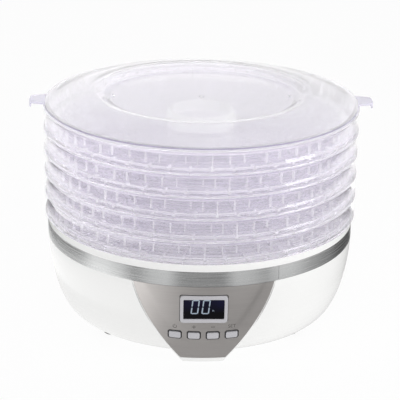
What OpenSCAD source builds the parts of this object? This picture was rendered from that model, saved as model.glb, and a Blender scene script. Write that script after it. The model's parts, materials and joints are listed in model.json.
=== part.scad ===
// Food dehydrator: a white bowl-shaped base with a steel band, a curved control panel,
// a fan and heater inside, five clear stacking trays and a clear domed lid.
// Millimetres, +Z up, origin on the ground under the middle of the base, front faces -Y.

/* [Base] */
// Radius of the base at the steel band
base_r = 155; // [150:0.5:156]
// Height of the band's lower edge above the ground
band_z = 85; // [84:0.5:86]
// Height of the steel band
band_h = 15; // [10:0.5:15]
// Thickness of the band's steel sheet
band_t = 0.6; // [0.4:0.1:0.8]
// Direction of the band's seam, to the right of the front
seam_angle = 27; // [27:1:60]
// Height of the base's rim, on which the lowest tray stands
rim_z = 108; // [107:0.5:109]
// Height of the base's underside above the ground
base_z = 7; // [6:0.5:7]
// Radius of the base's flat underside
bottom_r = 128; // [127:0.5:132]
// Wall thickness of the white mouldings
shell_t = 2.5; // [2:0.1:3]

/* [Trays] */
// Number of trays in the stack
tray_count = 5; // [5:1:5]
// Height that each tray adds to the stack
tray_pitch = 22; // [20:0.5:26]
// Outer radius of a tray at its upper and lower edges
tray_edge_r = 157.4; // [157:0.1:158]
// Outer radius of a tray at its waist
tray_waist_r = 155.1; // [154.6:0.1:156]
// Wall thickness of a tray
tray_t = 2.2; // [2:0.1:2.4]
// Number of spokes in a tray's floor
tray_spokes = 12; // [8:2:16]
// Distance between neighbouring rings of a tray's floor
ring_pitch = 8; // [7:1:16]
// Radius of the air hole in the middle of a tray
hub_r = 31; // [28:1:36]
// Height of the collar round that hole
hub_h = 13; // [10:0.5:15]

/* [Lid] */
// Outer radius of the lid's rim
lid_r = 156; // [155:0.5:157]
// Height of the lid above the top tray
lid_h = 13; // [12:0.5:14]
// Radius of the crest round the lid's sunken middle
lid_crest_r = 107; // [104:1:110]
// Radius of the flat sunken middle
lid_well_r = 89; // [84:1:90]
// Length over the two lifting tabs
tab_span = 342; // [338:1:344]

/* [Control panel] */
// Height of the panel's lower edge above the ground
panel_z = 6.6; // [6:0.2:7]
// Width of the panel's upper edge
panel_top_w = 132.6; // [120:0.2:134]
// Width of the panel's lower edge
panel_low_w = 43; // [40:0.5:46]
// How far the panel's sides bow outwards
panel_bow = 6.6; // [4:0.2:8]
// Radius of the panel's face at its lower edge
panel_low_r = 144.8; // [144:0.2:146]
// Width of the display's bezel
bezel_w = 44.8; // [44:0.2:46]
// Height of the display's bezel
bezel_h = 29.3; // [28:0.1:30]
// Width of a button
button_w = 11.6; // [10:0.2:12]
// Height of a button
button_h = 7.3; // [6:0.1:7.6]
// Distance between neighbouring buttons
button_pitch = 18; // [17:0.5:18]
// How far a button goes in
button_travel = 0.7; // [0.4:0.1:0.7]

/* [Hidden] */

fine = 96;              // facets of a large round surface, kept exact in the solids
small = 32;             // facets of a small round surface
gap = 0.35;             // free play round a moving piece
button_gap = 0.6;       // gap between a button and the panel
snug = 0.15;            // free play between fixed pieces
screw_r = 1.5;
head_r = 2.8;
pilot_r = 1.55;         // hole that a screw cuts its thread in
clear_r = 1.7;          // hole that a screw passes through

// The bowl curves from the flat underside up to the band.
bowl_top = band_z;
bowl_h = bowl_top - base_z;
bowl_in = base_r - bottom_r;
bowl_steps = 15;
function bowl_point(i, inset) = let (a = 90 * i / bowl_steps)
    [base_r - bowl_in * (1 - cos(a)) - inset, bowl_top - bowl_h * pow(sin(a), 1.18)];

groove_r = base_r - band_t - 0.2;           // seat of the steel band
housing_top = band_z + band_h;
lip_r = 96;                                 // opening in the housing's underside
lip_top = base_z + shell_t;
plate_r = 124;
plate_top = lip_top + shell_t;
foot_x = 88;
foot_y = 74;
foot_r = 9;
stud_r = 2.5;                               // push-in stud of a foot
plate_screw_r = 101;                        // distance of the plate's screws from the middle

// The deck is a shallow dish with a collar round the air outlet.
deck_z = 92;
deck_top = deck_z + shell_t;
deck_screw_z = band_z + band_h / 2;
outlet_r = 48;
collar_top = 104;
nest_r = 153.2;                             // outside of the nesting ring under trays and lid
nest_t = 2;
nest_h = 4;

// Fan, heater and duct stand one above the other on the axis.
duct_r = 56;
duct_z = 40;
duct_wall = 1.6;
duct_screw_r = 61;
bracket_z = 18;
bracket_turn = 60;
bracket_t = 2;
bracket_screw_r = 79;
motor_screw_r = 20;
motor_r = 27;
motor_z = bracket_z + bracket_t;
motor_h = 25;
shaft_r = 2.5;
fan_z = 50;
fan_h = 14;
fan_r = 52;
blade_count = 7;
heater_z = 70;
heater_h = 14;

// The main board stands on posts at the right of the fan.
board_x = 95;
board_w = 50;
board_l = 84;
board_z = 20;
board_t = 1.6;
post_x = 20;
post_y = 37;

gland_z = 28;
gland_face = 149;
gland_bore_r = 3.6;

// The panel's face is part of a cone; its own frame has X right, Y up the face, Z outwards.
panel_top_z = band_z - 0.2;
panel_rise = panel_top_z - panel_z;
panel_tilt = atan((base_r - panel_low_r) / panel_rise);
panel_mid_z = 50;
function panel_r(z) = panel_low_r + (z - panel_z) * tan(panel_tilt);
function panel_half(z) = let (t = (z - panel_z) / panel_rise)
    panel_low_w / 2 + (panel_top_w - panel_low_w) / 2 * t + 4 * panel_bow * t * (1 - t);
function panel_slope(z) = (panel_half(z + 0.5) - panel_half(z - 0.5));
function panel_edge(z, grow) = panel_half(z) + grow * sqrt(1 + pow(panel_slope(z), 2));
function on_panel(z) = (z - panel_mid_z) / cos(panel_tilt);
apron_z = 2.4;
apron_edge = 1.2;
apron_back_r = 126;
face_t = 1.2;                               // metal face plate
apron_t = 2.5;
display_y = on_panel(61);
button_y = on_panel(32);
button_x = [-1.5, -0.5, 0.5, 1.5] * button_pitch;
stand_out = 0.9;                            // how far bezel and buttons stand proud
board_front = -14;                          // control board's front, along the panel's normal
switch_h = 3.5;
plunger_h = 1;
stem_end = board_front + switch_h + plunger_h + button_travel + 0.1;

// ---------------------------------------------------------------- shared shapes

function round_rect(w, h, r, n = 5) = [for (c = [0:3], i = [0:n])
    let (a = 90 * c + 90 * i / n, sx = (c == 0 || c == 3) ? 1 : -1, sy = c < 2 ? 1 : -1)
    [sx * (w / 2 - r) + r * cos(a), sy * (h / 2 - r) + r * sin(a)]];

module round_bar(w, h, r, low, high) {
    translate([0, 0, low]) linear_extrude(high - low) polygon(round_rect(w, h, r));
}

module tube(outer, inner, low, high, facets = fine) {
    translate([0, 0, low]) difference() {
        cylinder(h = high - low, r = outer, $fn = facets);
        translate([0, 0, -1]) cylinder(h = high - low + 2, r = inner, $fn = facets);
    }
}

module around(count, start = 0) {
    for (i = [0:count - 1]) rotate(start + 360 * i / count) children();
}

// A wire swept along a route: a ring of points round each point of the route.
function unit(v) = v / norm(v);
function ring_at(route, i, r, sides) =
    let (last = len(route) - 1,
        dir = unit(route[min(i + 1, last)] - route[max(i - 1, 0)]),
        side = unit(cross(dir, abs(dir.z) > 0.9 ? [1, 0, 0] : [0, 0, 1])),
        up = cross(side, dir))
    [for (k = [0:sides - 1]) route[i] + r * (cos(360 * k / sides) * side + sin(360 * k / sides) * up)];
module sweep(route, r, sides = 8) {
    rings = len(route);
    points = [for (i = [0:rings - 1]) each ring_at(route, i, r, sides)];
    polyhedron(points = points, faces = [
        [for (k = [0:sides - 1]) k],
        [for (k = [sides - 1:-1:0]) (rings - 1) * sides + k],
        for (i = [0:rings - 2], k = [0:sides - 1]) let (n = (k + 1) % sides, a = i * sides,
                b = a + sides)
            each [[a + k, b + k, b + n], [a + k, b + n, a + n]]]);
}
// A smooth route through a few points: Catmull-Rom spans of five steps each.
function span(a, b, c, d, t) = 0.5 * ((2 * b) + (c - a) * t + (2 * a - 5 * b + 4 * c - d) * t * t
    + (3 * b - a - 3 * c + d) * t * t * t);
function smooth_route(p) = let (last = len(p) - 1)
    [for (i = [0:last - 1], k = [0:4])
        span(p[max(i - 1, 0)], p[i], p[i + 1], p[min(i + 2, last)], k / 5), p[last]];

// ---------------------------------------------------------------- base

module bowl(inset, low) {
    rotate_extrude($fn = fine) polygon(concat([[0, low]],
        [for (i = [bowl_steps:-1:0]) let (p = bowl_point(i, inset)) [p.x, max(p.y, low)]],
        [[base_r - inset, bowl_top], [0, bowl_top]]));
}

module base_housing() {
    color("white") difference() {
        union() {
            difference() {
                bowl(0, base_z);
                bowl(shell_t, lip_top);
                translate([0, 0, base_z - 1]) cylinder(h = 20, r = lip_r, $fn = fine);
            }
            tube(groove_r, groove_r - shell_t, bowl_top - shell_t, housing_top);
            translate([0, gland_face, gland_z]) rotate([90, 0, 0])
                cylinder(h = 12, r = 11, $fn = small);
        }
        apron_pocket();
        translate([0, gland_face + 1, gland_z]) rotate([90, 0, 0])
            cylinder(h = 20, r = 6 + snug, $fn = small);
        around(4, 45) translate([140, 0, deck_screw_z]) rotate([0, 90, 0]) {
            cylinder(h = 20, r = clear_r, $fn = small);
            translate([0, 0, groove_r - 141]) cylinder(h = 5, r = 3, $fn = small);
        }
        at_feet() translate([0, 0, base_z - 1]) cylinder(h = 10, r = stud_r + snug, $fn = small);
        around(6, 30) translate([plate_screw_r, 0, base_z - 1])
            cylinder(h = 10, r = clear_r, $fn = small);
    }
}

module steel_band() {
    color("silver") difference() {
        tube(base_r, base_r - band_t, band_z, housing_top);
        rotate(seam_angle - 90) translate([base_r - 5, -0.2, band_z - 1]) cube([10, 0.4, band_h + 2]);
    }
}

module base_deck() {
    color("white") difference() {
        rotate_extrude($fn = fine) polygon([
            [base_r, housing_top], [base_r, rim_z - 0.8], [base_r - 0.25, rim_z - 0.25],
            [base_r - 0.8, rim_z], [nest_r + 0.35, rim_z], [nest_r + 0.35, rim_z - nest_h - 0.6],
            [151, rim_z - nest_h - 0.6], [149.5, deck_top + 7], [70, deck_top], [50.5, deck_top],
            [50.5, collar_top], [outlet_r, collar_top], [outlet_r, deck_z], [70, deck_z],
            [148.8, deck_z + 6.6], [148.8, 87], [151.2, 87], [151.2, housing_top]]);
        around(4, 45) translate([140, 0, deck_screw_z]) rotate([0, 90, 0])
            cylinder(h = 20, r = pilot_r, $fn = small);
        around(4) translate([duct_screw_r, 0, deck_z - 1]) cylinder(h = 3, r = pilot_r, $fn = small);
    }
}

module outlet_grille() {
    color("white") difference() {
        union() {
            tube(52, 44, collar_top, collar_top + 2.4);
            tube(45, 0.01, collar_top + 0.6, collar_top + 2.4);
        }
        around(24) for (r = [16, 31]) translate([r, -1.5, collar_top - 1]) cube([12, 3, 5]);
    }
}

module bottom_plate() {
    color("whitesmoke") difference() {
        union() {
            translate([0, 0, lip_top]) cylinder(h = shell_t, r = plate_r, $fn = fine);
            at_posts() cylinder(h = board_z - plate_top + 0.5, r = 3.5, $fn = small);
        }
        around(36, 5) translate([34, -1.6, lip_top - 1]) cube([28, 3.2, 5]);
        around(48, 3.75) translate([68, -1.6, lip_top - 1]) cube([22, 3.2, 5]);
        around(6, 30) translate([plate_screw_r, 0, lip_top - 1])
            cylinder(h = 5, r = pilot_r, $fn = small);
        around(3, bracket_turn) translate([bracket_screw_r, 0, lip_top - 1])
            cylinder(h = 5, r = pilot_r, $fn = small);
        at_posts() translate([0, 0, -1]) cylinder(h = 12, r = 1.3, $fn = small);
        at_feet() translate([0, 0, lip_top - 1]) cylinder(h = 5, r = 4, $fn = small);
    }
}

module at_feet() {
    for (x = [-foot_x, foot_x], y = [-foot_y, foot_y]) translate([x, y, 0]) children();
}

module at_posts() {
    for (x = [-post_x, post_x], y = [-post_y, post_y])
        translate([board_x + x, y, plate_top - 0.5]) children();
}

// A rubber foot with a push-in stud; the four corners run left to right, front to back.
module foot(i) {
    x = i % 2 == 1 ? -foot_x : foot_x;
    y = i <= 2 ? -foot_y : foot_y;
    color("dimgray") translate([x, y, 0]) {
        rotate_extrude($fn = small * 2) polygon([[0, 0], [foot_r - 1.2, 0], [foot_r - 0.4, 0.6],
            [foot_r, base_z], [0, base_z]]);
        translate([0, 0, base_z - 0.5]) cylinder(h = lip_top - base_z + 1.5, r = stud_r, $fn = small);
        translate([0, 0, lip_top + 0.1]) cylinder(h = 1.4, r = 3.2, $fn = small);
    }
}

module screw(length, head_h, r = screw_r, cap_r = head_r) {
    cylinder(h = length, r = r, $fn = small);
    translate([0, 0, -head_h]) cylinder(h = head_h, r = cap_r, $fn = small);
}

module plate_screws() {
    color("silver") around(6, 30) translate([plate_screw_r, 0, base_z]) screw(6.5, 1.6);
}

module deck_screws() {
    color("silver") around(4, 45) translate([groove_r - 0.9, 0, deck_screw_z])
        rotate([0, -90, 0]) screw(5.8, 0.8);
}

module cord_gland() {
    color("dimgray") translate([0, gland_face, gland_z]) rotate([90, 0, 0]) difference() {
        union() {
            translate([0, 0, -2.5]) cylinder(h = 2.5, r = 8.5, $fn = small * 2);
            cylinder(h = 14, r = 6, $fn = small);
        }
        translate([0, 0, -5]) cylinder(h = 25, r = gland_bore_r, $fn = small);
    }
}

// ---------------------------------------------------------------- control panel

module in_panel() {
    translate([0, -panel_r(panel_mid_z), panel_mid_z]) rotate([90 + panel_tilt, 0, 0]) children();
}

// Front outline of the panel, grown outwards, extruded through the front of the base.
module panel_prism(grow, low, high) {
    side = [for (i = [0:10]) let (z = low + (high - low) * i / 10) [panel_edge(z, grow), z]];
    rotate([90, 0, 0]) linear_extrude(base_r + 10)
        polygon(concat(side, [for (i = [10:-1:0]) [-side[i].x, side[i].y]]));
}

// Ring between two offsets from the panel's conical face.
module face_ring(from, to, low, high, segments = fine) {
    rotate_extrude($fn = segments) polygon([[panel_r(low) + from, low], [panel_r(low) + to, low],
        [panel_r(high) + to, high], [panel_r(high) + from, high]]);
}

module button_bars(w, h, r, low, high) {
    for (x = button_x) translate([x, button_y, 0]) round_bar(w, h, r, low, high);
}

module apron_pocket() {
    intersection() {
        panel_prism(apron_edge + snug, apron_z - 1, band_z);
        tube(base_r + 10, apron_back_r - 0.3, 0, band_z + 1);
    }
}

module control_apron() {
    color("white") difference() {
        intersection() {
            panel_prism(apron_edge, apron_z, band_z - 0.1);
            rotate_extrude($fn = fine) polygon([[apron_back_r, apron_z], [panel_r(apron_z), apron_z],
                [panel_r(band_z), band_z], [apron_back_r, band_z]]);
        }
        intersection() {
            panel_prism(snug, panel_z - snug, band_z + 1);
            face_ring(-face_t - 0.05, 5, panel_z - snug, band_z + 1);
        }
        difference() {
            intersection() {
                panel_prism(-apron_edge - 0.2, apron_z + apron_t, band_z - apron_t);
                rotate_extrude($fn = fine) polygon([[apron_back_r - 1, apron_z],
                    [panel_r(apron_z) - face_t - apron_t, apron_z],
                    [panel_r(band_z) - face_t - apron_t, band_z], [apron_back_r - 1, band_z]]);
            }
            in_panel() at_board_screws() translate([0, 0, board_front])
                cylinder(h = -board_front, r = 2.8, $fn = small);
        }
        in_panel() {
            translate([0, display_y, 0]) round_bar(bezel_w + 0.6, bezel_h - 1, 2, board_front, 5);
            button_bars(button_w + 2 * button_gap, button_h + 2 * button_gap, 2.1, board_front, 5);
            at_board_screws() translate([0, 0, board_front - 1]) cylinder(h = 6, r = 1.1, $fn = small);
        }
    }
}

module at_board_screws() {
    for (p = [[-41, 15], [41, 15], [0, -25]]) translate([p.x, p.y, 0]) children();
}

module control_panel() {
    color("#bdb6b0") difference() {
        intersection() {
            panel_prism(0, panel_z, panel_top_z);
            face_ring(-face_t, 0, panel_z, panel_top_z);
        }
        in_panel() {
            translate([0, display_y, 0]) round_bar(bezel_w - 2, bezel_h - 2, 2.4, -10, 5);
            button_bars(button_w + 2 * button_gap, button_h + 2 * button_gap, 2.1, -10, 5);
        }
    }
}

module display_bezel() {
    color("gainsboro") difference() {
        union() {
            intersection() {
                in_panel() translate([0, display_y, 0])
                    round_bar(bezel_w, bezel_h, 3.4, -10, stand_out + 0.2);
                face_ring(0.05, 5, 20, band_z, 2 * fine);
            }
            intersection() {
                in_panel() translate([0, display_y, 0])
                    round_bar(bezel_w - 2.4, bezel_h - 2.4, 2.2, -10, 5);
                face_ring(-face_t - apron_t, 0.6, 20, band_z, 2 * fine);
            }
        }
        in_panel() translate([0, display_y, 0]) round_bar(bezel_w - 6.2, bezel_h - 8, 1, -20, 5);
    }
}

module display_window() {
    color("#101426") in_panel() translate([0, display_y, 0])
        round_bar(bezel_w - 6.5, bezel_h - 8.3, 0.9, -1, 0.4);
}

module lcd_module() {
    color("darkslategray") in_panel() translate([0, display_y, 0]) {
        round_bar(bezel_w - 1, bezel_h - 3, 1, board_front, -8);
        round_bar(bezel_w - 5, bezel_h - 7, 0.5, -8.5, -5.6);
    }
}

module push_button(i) {
    color("gainsboro") {
        intersection() {
            in_panel() translate([button_x[i], button_y, 0])
                round_bar(button_w, button_h, 1.6, -12, 5);
            face_ring(-5.2, stand_out, 20, 45);
        }
        intersection() {
            in_panel() translate([button_x[i], button_y, 0])
                round_bar(button_w + 2.6, button_h + 2.6, 1.6, -12, 5);
            face_ring(-5.2, -face_t - apron_t - gap, 20, 45);
        }
        in_panel() translate([button_x[i], button_y, stem_end])
            cylinder(h = 5, r = 1.6, $fn = small);
    }
}

module control_board() {
    color("darkgreen") in_panel() difference() {
        translate([0, 0, board_front - board_t]) linear_extrude(board_t)
            polygon([[-22, -29], [22, -29], [32, -20], [46, 8], [46, 21], [-46, 21], [-46, 8],
                [-32, -20]]);
        at_board_screws() translate([0, 0, board_front - 5]) cylinder(h = 10, r = 1.3, $fn = small);
    }
}

module tact_switches() {
    color("#303030") in_panel() for (x = button_x) translate([x, button_y, board_front]) {
        round_bar(6, 6, 0.5, 0, switch_h);
        cylinder(h = switch_h + plunger_h, r = 1.75, $fn = small);
    }
}

module board_screws() {
    color("silver") in_panel() at_board_screws() translate([0, 0, board_front - board_t])
        screw(4.5, 1.5, 1, 2.3);
}

// ---------------------------------------------------------------- fan and heater

module motor() {
    color("lightgray") difference() {
        union() {
            translate([0, 0, motor_z]) cylinder(h = motor_h, r = motor_r, $fn = fine);
            translate([0, 0, motor_z + motor_h - 0.5]) cylinder(h = 3, r = 8, $fn = small);
        }
        translate([0, 0, motor_z + 3 - 0.3]) cylinder(h = motor_h + 5, r = shaft_r + 0.3, $fn = small);
        around(3) translate([motor_screw_r, 0, motor_z - 1]) cylinder(h = 5.5, r = pilot_r, $fn = small);
    }
}

module motor_bracket() {
    bracket_w = 12;
    leg_x = bracket_screw_r - 4;
    color("silver") difference() {
        union() {
            translate([0, 0, bracket_z]) cylinder(h = bracket_t, r = motor_r + 3, $fn = fine);
            around(3, bracket_turn) translate([0, -bracket_w / 2, 0]) {
                translate([motor_screw_r, 0, bracket_z]) cube([leg_x - motor_screw_r, bracket_w, bracket_t]);
                translate([leg_x - bracket_t, 0, plate_top])
                    cube([bracket_t, bracket_w, motor_z - plate_top]);
                translate([leg_x - bracket_t, 0, plate_top])
                    cube([2 * (bracket_screw_r - leg_x) + 2 * bracket_t, bracket_w, bracket_t]);
            }
        }
        around(3, bracket_turn) translate([bracket_screw_r, 0, plate_top - 1])
            cylinder(h = 5, r = clear_r, $fn = small);
        around(3) translate([motor_screw_r, 0, bracket_z - 1]) cylinder(h = 5, r = clear_r, $fn = small);
    }
}

module motor_screws() {
    color("silver") {
        around(3, bracket_turn) translate([bracket_screw_r, 0, plate_top + bracket_t])
            rotate([180, 0, 0]) screw(4.4, 1.8);
        around(3) translate([motor_screw_r, 0, bracket_z]) screw(5, 1.6);
    }
}

module motor_shaft() {
    color("silver") translate([0, 0, motor_z + 3]) cylinder(h = fan_z + fan_h + 4 - motor_z - 3,
        r = shaft_r, $fn = small);
}

module fan_wheel() {
    color("#e8e8e0") difference() {
        union() {
            translate([0, 0, fan_z]) cylinder(h = fan_h, r = 11, $fn = small * 2);
            around(blade_count) translate([8, 0, fan_z + fan_h / 2]) rotate([28, 0, 0])
                translate([0, -11, -0.8]) cube([fan_r - 8, 22, 1.6]);
        }
        translate([0, 0, fan_z - 1]) cylinder(h = fan_h + 2, r = shaft_r + 0.02, $fn = small);
    }
}

module fan_nut() {
    color("silver") difference() {
        translate([0, 0, fan_z + fan_h]) cylinder(h = 3, r = 5, $fn = 6);
        translate([0, 0, fan_z]) cylinder(h = 30, r = shaft_r + 0.02, $fn = small);
    }
}

module air_duct() {
    color("silver") difference() {
        union() {
            tube(duct_r + duct_wall, duct_r, duct_z, deck_z);
            tube(duct_r + 10, duct_r, deck_z - duct_wall, deck_z);
        }
        around(4) translate([duct_screw_r, 0, deck_z - 5]) cylinder(h = 10, r = pilot_r, $fn = small);
        lead_hole();
    }
}

// Way out of the duct for the heater's leads.
module lead_hole() {
    translate([duct_r - 5, -6, heater_z + 8]) rotate([0, 90, 0]) cylinder(h = 12, r = 3, $fn = small);
}

module duct_screws() {
    color("silver") around(4) translate([duct_screw_r, 0, deck_z - duct_wall]) screw(3.4, 1.8);
}

// Mica fins round a core carry the heating coil; a rim ring holds them in the duct.
module heater_frame() {
    color("#c9b58a") difference() {
        union() {
            translate([0, 0, heater_z]) cylinder(h = heater_h, r = 14, $fn = small * 2);
            tube(duct_r - 0.3, duct_r - 1.9, heater_z, heater_z + heater_h);
            around(6) translate([12, -0.6, heater_z]) cube([duct_r - 13, 1.2, heater_h]);
        }
        translate([0, 0, heater_z - 1]) cylinder(h = 4, r = 8, $fn = small);
        lead_hole();
    }
}

coil_turns = 40;
coil_r = 34;
coil_bend = 4;
module heater_coil() {
    steps = coil_turns * 8;
    color("#8a7f78") sweep([for (i = [0:steps]) let (a = 350 * i / steps, b = 360 * i / 8,
        r = coil_r + coil_bend * cos(b))
        [r * cos(a), r * sin(a), heater_z + heater_h + coil_bend + 0.9 + coil_bend * sin(b)]], 0.6, 4);
}

module thermostat() {
    color("#3a3a3c") translate([0, 0, heater_z + heater_h]) {
        cylinder(h = 6, r = 8, $fn = small * 2);
        for (s = [-1, 1]) translate([s * 5 - 0.4, -2.4, 5.5]) cube([0.8, 4.8, 6]);
    }
}

module thermal_fuse() {
    color("silver") translate([0, 11, heater_z + heater_h + 2]) rotate([0, 90, 0])
        translate([0, 0, -6]) cylinder(h = 12, r = 2, $fn = small);
}

// ---------------------------------------------------------------- electronics

module main_board() {
    color("darkgreen") difference() {
        translate([board_x - board_w / 2, -board_l / 2, board_z]) cube([board_w, board_l, board_t]);
        at_posts() cylinder(h = 20, r = clear_r, $fn = small);
    }
}

module main_board_screws() {
    color("silver") at_posts() translate([0, 0, board_z + board_t - plate_top + 0.5])
        rotate([180, 0, 0]) screw(6, 1.6, 1.25, 2.5);
}

module transformer() {
    color("#c8a24a") translate([board_x - 6, 12, board_z + board_t]) {
        translate([-16, -13, 0]) cube([32, 26, 24]);
        translate([-10, -17, 4]) cube([20, 34, 16]);
    }
}

module relay() {
    color("#2a5ca8") translate([board_x + 10, -20, board_z + board_t])
        translate([-8, -9.5, 0]) cube([16, 19, 15.5]);
}

module terminal_block() {
    color("seagreen") translate([board_x - 16, -22, board_z + board_t]) difference() {
        translate([-5, -10, 0]) cube([10, 20, 11]);
        for (y = [-6, 0, 6]) translate([-6, y, 4.5]) rotate([0, 90, 0])
            cylinder(h = 6, r = 1.9, $fn = small);
    }
}

cable_points = [[36, -132.5, 54], [44, -118, 48], [62, -98, 38], [76, -74, 30], [86, -52, 28],
    [92, -40, 25.6], [92, -35, 24]];
motor_points = [[28.4, -4, 34], [36, -8, 32], [48, -14, 28], [60, -18, 27], [68, -18, 26.6],
    [74.6, -16.2, 26.2]];
heater_points = [[39.8, -7, 89], [45, -6.6, 88.6], [49, -6.2, 84], [52, -6, 79], [60, -6, 77.6],
    [66, -8, 68], [66, -16, 48], [66, -22, 30], [69, -22.2, 26.4], [74.6, -22, 26.1]];

module display_cable() {
    color("gray") sweep(smooth_route(cable_points), 1.8, 8);
}

module motor_leads() {
    color("#b03a2e") sweep(smooth_route(motor_points), 1.1, 8);
}

module heater_leads() {
    color("ivory") sweep(smooth_route(heater_points), 1.1, 8);
}

// ---------------------------------------------------------------- trays and lid

function tray_z(i) = rim_z + tray_pitch * (i - 1);
function wall_r(t) = tray_waist_r + (tray_edge_r - tray_waist_r) * pow(2 * t - 1, 2);

floor_low = 1.2;
floor_t = 2.4;
tray_turn = [0, 11, 4, 8, 2];               // each tray is put on at its own angle
module tray(i) {
    steps = 8;
    color("#e6e6f0", 0.6) translate([0, 0, tray_z(i)]) rotate(tray_turn[i - 1]) {
        rotate_extrude($fn = fine) polygon(concat(
            [for (k = [0:steps]) [wall_r(k / steps), tray_pitch * k / steps]],
            [for (k = [steps:-1:2]) [wall_r(k / steps) - tray_t, tray_pitch * k / steps]],
            [[nest_r - nest_t, floor_low + floor_t], [nest_r - nest_t, -nest_h],
                [nest_r, -nest_h], [nest_r, 0]]));
        rotate_extrude($fn = fine) polygon([[hub_r, floor_low], [hub_r + 5, floor_low],
            [hub_r + 5, floor_low + floor_t], [hub_r + 2, hub_h], [hub_r, hub_h]]);
        for (r = [hub_r + 5 + ring_pitch:ring_pitch:nest_r - 5])
            tube(r + 1.1, r - 1.1, floor_low, floor_low + floor_t);
        around(tray_spokes) translate([hub_r + 4, -1, floor_low])
            cube([nest_r - nest_t + 0.5 - hub_r - 4, 2, floor_t]);
        around(12, 180 / tray_spokes) translate([nest_r - nest_t - 0.8, -0.7, floor_low])
            cube([2, 1.4, 12]);
    }
}

lid_z = tray_z(tray_count + 1);
tab_root = 32;
tab_end = 20;
module lid() {
    top = lid_h;
    well = lid_h - 7.4;
    vent_w = 2.4;
    vent_l = 9;
    color("#e6e6f0", 0.6) translate([0, 0, lid_z]) difference() {
        union() {
            rotate_extrude($fn = fine) polygon([
                [lid_r, 0], [lid_r, 2.4], [lid_r - 1.2, 3], [140, 6.6], [125, 10.2],
                [112, top - 0.3], [lid_crest_r, top], [lid_crest_r - 3, top - 0.6],
                [lid_well_r + 3, well + 1], [lid_well_r, well + 0.4], [0, well],
                [0, well - 2.2], [lid_well_r + 1, well - 1.8], [lid_crest_r - 3, top - 3],
                [lid_crest_r, top - 2.3], [112, top - 2.6], [125, 7.8], [140, 4.2],
                [nest_r - nest_t, 1], [nest_r - nest_t, -nest_h], [nest_r, -nest_h], [nest_r, 0]]);
            for (s = [0, 180]) rotate(s) {
                translate([0, 0, 0.4]) linear_extrude(2.2) polygon([[152, -tab_root / 2],
                    [tab_span / 2 - 2, -tab_end / 2], [tab_span / 2 - 2, tab_end / 2],
                    [152, tab_root / 2]]);
                translate([tab_span / 2 - 2, -tab_end / 2, -2.4]) cube([2, tab_end, 5]);
            }
        }
        for (s = [0, 180]) rotate(s)
            translate([lid_well_r - vent_w, -vent_l / 2, -nest_h]) cube([vent_w, vent_l, 30]);
    }
}

base_housing();
steel_band();
base_deck();
outlet_grille();
bottom_plate();
foot(1);  // foot_1
foot(2);  // foot_2
foot(3);  // foot_3
foot(4);  // foot_4
plate_screws();
deck_screws();
cord_gland();
control_apron();
control_panel();
display_bezel();
display_window();
lcd_module();
push_button(0);  // power_button
push_button(1);  // plus_button
push_button(2);  // minus_button
push_button(3);  // set_button
control_board();
tact_switches();
board_screws();
motor();
motor_bracket();
motor_screws();
motor_shaft();
fan_wheel();
fan_nut();
air_duct();
duct_screws();
heater_frame();
heater_coil();
thermostat();
thermal_fuse();
main_board();
main_board_screws();
transformer();
relay();
terminal_block();
display_cable();
motor_leads();
heater_leads();
tray(1);  // tray_1
tray(2);  // tray_2
tray(3);  // tray_3
tray(4);  // tray_4
tray(5);  // tray_5
lid();
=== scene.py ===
import json
from math import asin, cos, degrees, hypot, radians, sin, tan

import bpy
from mathutils import Matrix, Vector

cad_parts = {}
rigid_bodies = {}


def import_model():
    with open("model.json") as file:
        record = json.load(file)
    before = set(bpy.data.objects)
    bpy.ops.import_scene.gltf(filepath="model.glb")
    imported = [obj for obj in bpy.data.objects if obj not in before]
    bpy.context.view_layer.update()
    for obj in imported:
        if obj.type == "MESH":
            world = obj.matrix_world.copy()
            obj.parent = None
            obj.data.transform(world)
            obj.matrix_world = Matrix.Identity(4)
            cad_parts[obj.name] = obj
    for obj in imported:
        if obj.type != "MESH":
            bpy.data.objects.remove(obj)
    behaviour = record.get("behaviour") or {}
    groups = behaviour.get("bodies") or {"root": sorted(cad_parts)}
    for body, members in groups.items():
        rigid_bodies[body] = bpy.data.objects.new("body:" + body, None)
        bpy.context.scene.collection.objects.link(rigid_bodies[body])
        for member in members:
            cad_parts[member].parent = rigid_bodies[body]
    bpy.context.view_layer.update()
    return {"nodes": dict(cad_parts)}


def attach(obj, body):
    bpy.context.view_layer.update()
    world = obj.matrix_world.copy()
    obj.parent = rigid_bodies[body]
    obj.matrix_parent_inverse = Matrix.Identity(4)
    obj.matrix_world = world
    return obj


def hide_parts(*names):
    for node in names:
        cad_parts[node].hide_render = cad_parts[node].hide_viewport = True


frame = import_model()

# ---------------------------------------------------------------- camera
# A long lens stands a good metre in front and looks down at the object by about twenty degrees.
lens_mm = 125.68
eye = Vector((-0.0467, -1.3382, 0.618))
aim = Vector((0, 0, 0.113))
roll = 0.919
bounces = 32

camera_data = bpy.data.cameras.new("camera")
camera_data.lens = lens_mm
camera = bpy.data.objects.new("camera", camera_data)
bpy.context.collection.objects.link(camera)
camera.location = eye
camera.rotation_euler = (aim - eye).to_track_quat("-Z", "Y").to_euler()
camera.rotation_euler.rotate_axis("Z", radians(roll))
bpy.context.scene.camera = camera
bpy.context.scene.view_settings.view_transform = "Standard"
# Clear walls stand one behind another, so a ray may pass many of them and turn back inside them.
for limit in ("max_bounces", "glossy_bounces", "transmission_bounces", "transparent_max_bounces"):
    setattr(bpy.context.scene.cycles, limit, bounces)


# ---------------------------------------------------------------- studio
# A white paper sweep under a pale sky, two soft boxes at the sides and one above, and round them
# grey cards, a strip light and a flag that only the shiny or the clear surfaces see.
mm = 0.001
deselect = dict(action="DESELECT")


def colour(code):
    """Linear colour, with alpha, of an sRGB hex value."""
    parts = [int(code[i:i + 2], 16) / 255 for i in (0, 2, 4)]
    return tuple(p / 12.92 if p <= 0.04045 else ((p + 0.055) / 1.055) ** 2.4 for p in parts) + (1,)


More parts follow.
